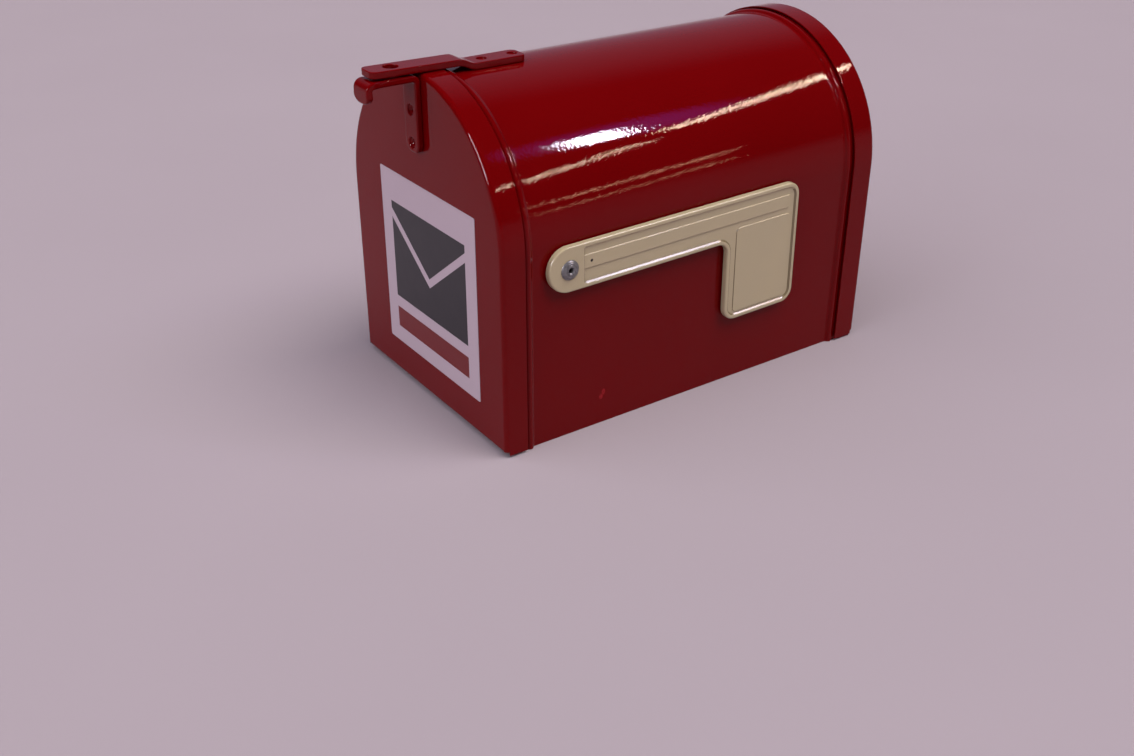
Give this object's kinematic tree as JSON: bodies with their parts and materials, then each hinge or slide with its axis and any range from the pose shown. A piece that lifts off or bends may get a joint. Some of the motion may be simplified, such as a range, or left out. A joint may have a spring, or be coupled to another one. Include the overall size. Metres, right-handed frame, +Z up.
{
  "type": "miniature mailbox",
  "caption": "Small arched sheet metal mailbox with a drop-down front door on a low hinge, a strap catch and pull at the top, and a side flag that turns on a rivet.",
  "frame": {"origin": "middle of the lower side of the box that encloses the whole object, on the plane that it stands on", "axes": "+Z up, +Y from the door towards the rear along the box, +X across the box towards the flag side"},
  "size_m": [0.1397, 0.2516, 0.1689],
  "materials": {
    "red_enamel": "glossy dark red enamel with a light orange peel",
    "flag_plastic": "moulded cream plastic with a soft sheen",
    "rivet_metal": "dull grey blind rivet",
    "bare_wire": "bare drawn steel",
    "spacer_plastic": "natural nylon",
    "label_film": "printed white vinyl film"
  },
  "bodies": {
    "box": {"body_shell": "red_enamel", "floor_panel": "red_enamel", "rear_cap": "red_enamel", "hinge_rod": "bare_wire", "catch_strap": "red_enamel", "catch_rivet_front": "red_enamel", "catch_rivet_rear": "red_enamel", "flag_rivet": "rivet_metal", "flag_rivet_stem": "bare_wire", "flag_spacer": "spacer_plastic", "flag_backing_washer": "bare_wire"},
    "door": {"door_pan": "red_enamel", "door_lug_left": "red_enamel", "door_lug_right": "red_enamel", "door_pull": "red_enamel", "pull_rivet_upper": "red_enamel", "pull_rivet_lower": "red_enamel", "front_label": "label_film"},
    "flag": {"signal_flag": "flag_plastic"}
  },
  "joints": [
    {"name": "door_hinge", "type": "hinge", "parent": "box", "child": "door", "pos_m": [-0.0014, -0.09355, 0.0075], "axis": [1, 0, 0], "range_deg": [0, 78]},
    {"name": "flag_pivot", "type": "hinge", "parent": "box", "child": "flag", "pos_m": [0.0669, -0.06465, 0.087], "axis": [1, 0, 0], "range_deg": [0, 90]}
  ]
}
